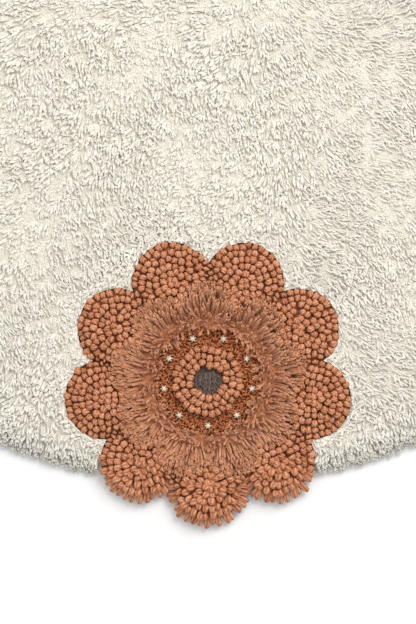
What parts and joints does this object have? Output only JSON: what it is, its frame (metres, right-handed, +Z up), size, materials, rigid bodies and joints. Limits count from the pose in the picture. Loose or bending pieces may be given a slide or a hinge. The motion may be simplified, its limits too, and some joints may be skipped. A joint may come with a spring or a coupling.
{
  "type": "round shag rug with tufted flower",
  "caption": "Round cream shag rug lying flat, with a layered flower in thick loops and cut pile tufted at its rim and reaching past it.",
  "frame": {"origin": "middle of the round field, on the flat underside of the base cloth, which rests on the floor", "axes": "+Z up out of the pile, -Y from the field's middle towards the flower at the rim, +X to the right as seen from above with the flower at the bottom"},
  "size_m": [1.1958, 1.2452, 0.025],
  "materials": {
    "canvas": "unbleached cotton canvas backing",
    "cream": "cream cotton shag, long cut pile",
    "terracotta": "terracotta cotton yarn, thick loops and long cut pile",
    "rust": "dark rust cotton yarn, short curly pile",
    "charcoal": "charcoal cotton yarn, dense tuft"
  },
  "bodies": {
    "root": {"base_cloth": "canvas", "ground_shag": "cream", "outer_petal_1": "terracotta", "outer_petal_2": "terracotta", "outer_petal_3": "terracotta", "outer_petal_4": "terracotta", "outer_petal_5": "terracotta", "outer_petal_6": "terracotta", "outer_petal_7": "terracotta", "outer_petal_8": "terracotta", "outer_petal_9": "terracotta", "inner_petal_1": "terracotta", "inner_petal_2": "terracotta", "inner_petal_3": "terracotta", "inner_petal_4": "terracotta", "inner_petal_5": "terracotta", "inner_petal_6": "terracotta", "inner_petal_7": "terracotta", "inner_petal_8": "terracotta", "inner_petal_9": "terracotta", "rust_ring": "rust", "boss": "terracotta", "core": "charcoal", "knot_1": "cream", "knot_2": "cream", "knot_3": "cream", "knot_4": "cream", "knot_5": "cream", "knot_6": "cream", "knot_7": "cream", "knot_8": "cream", "knot_9": "cream"}
  },
  "joints": []
}
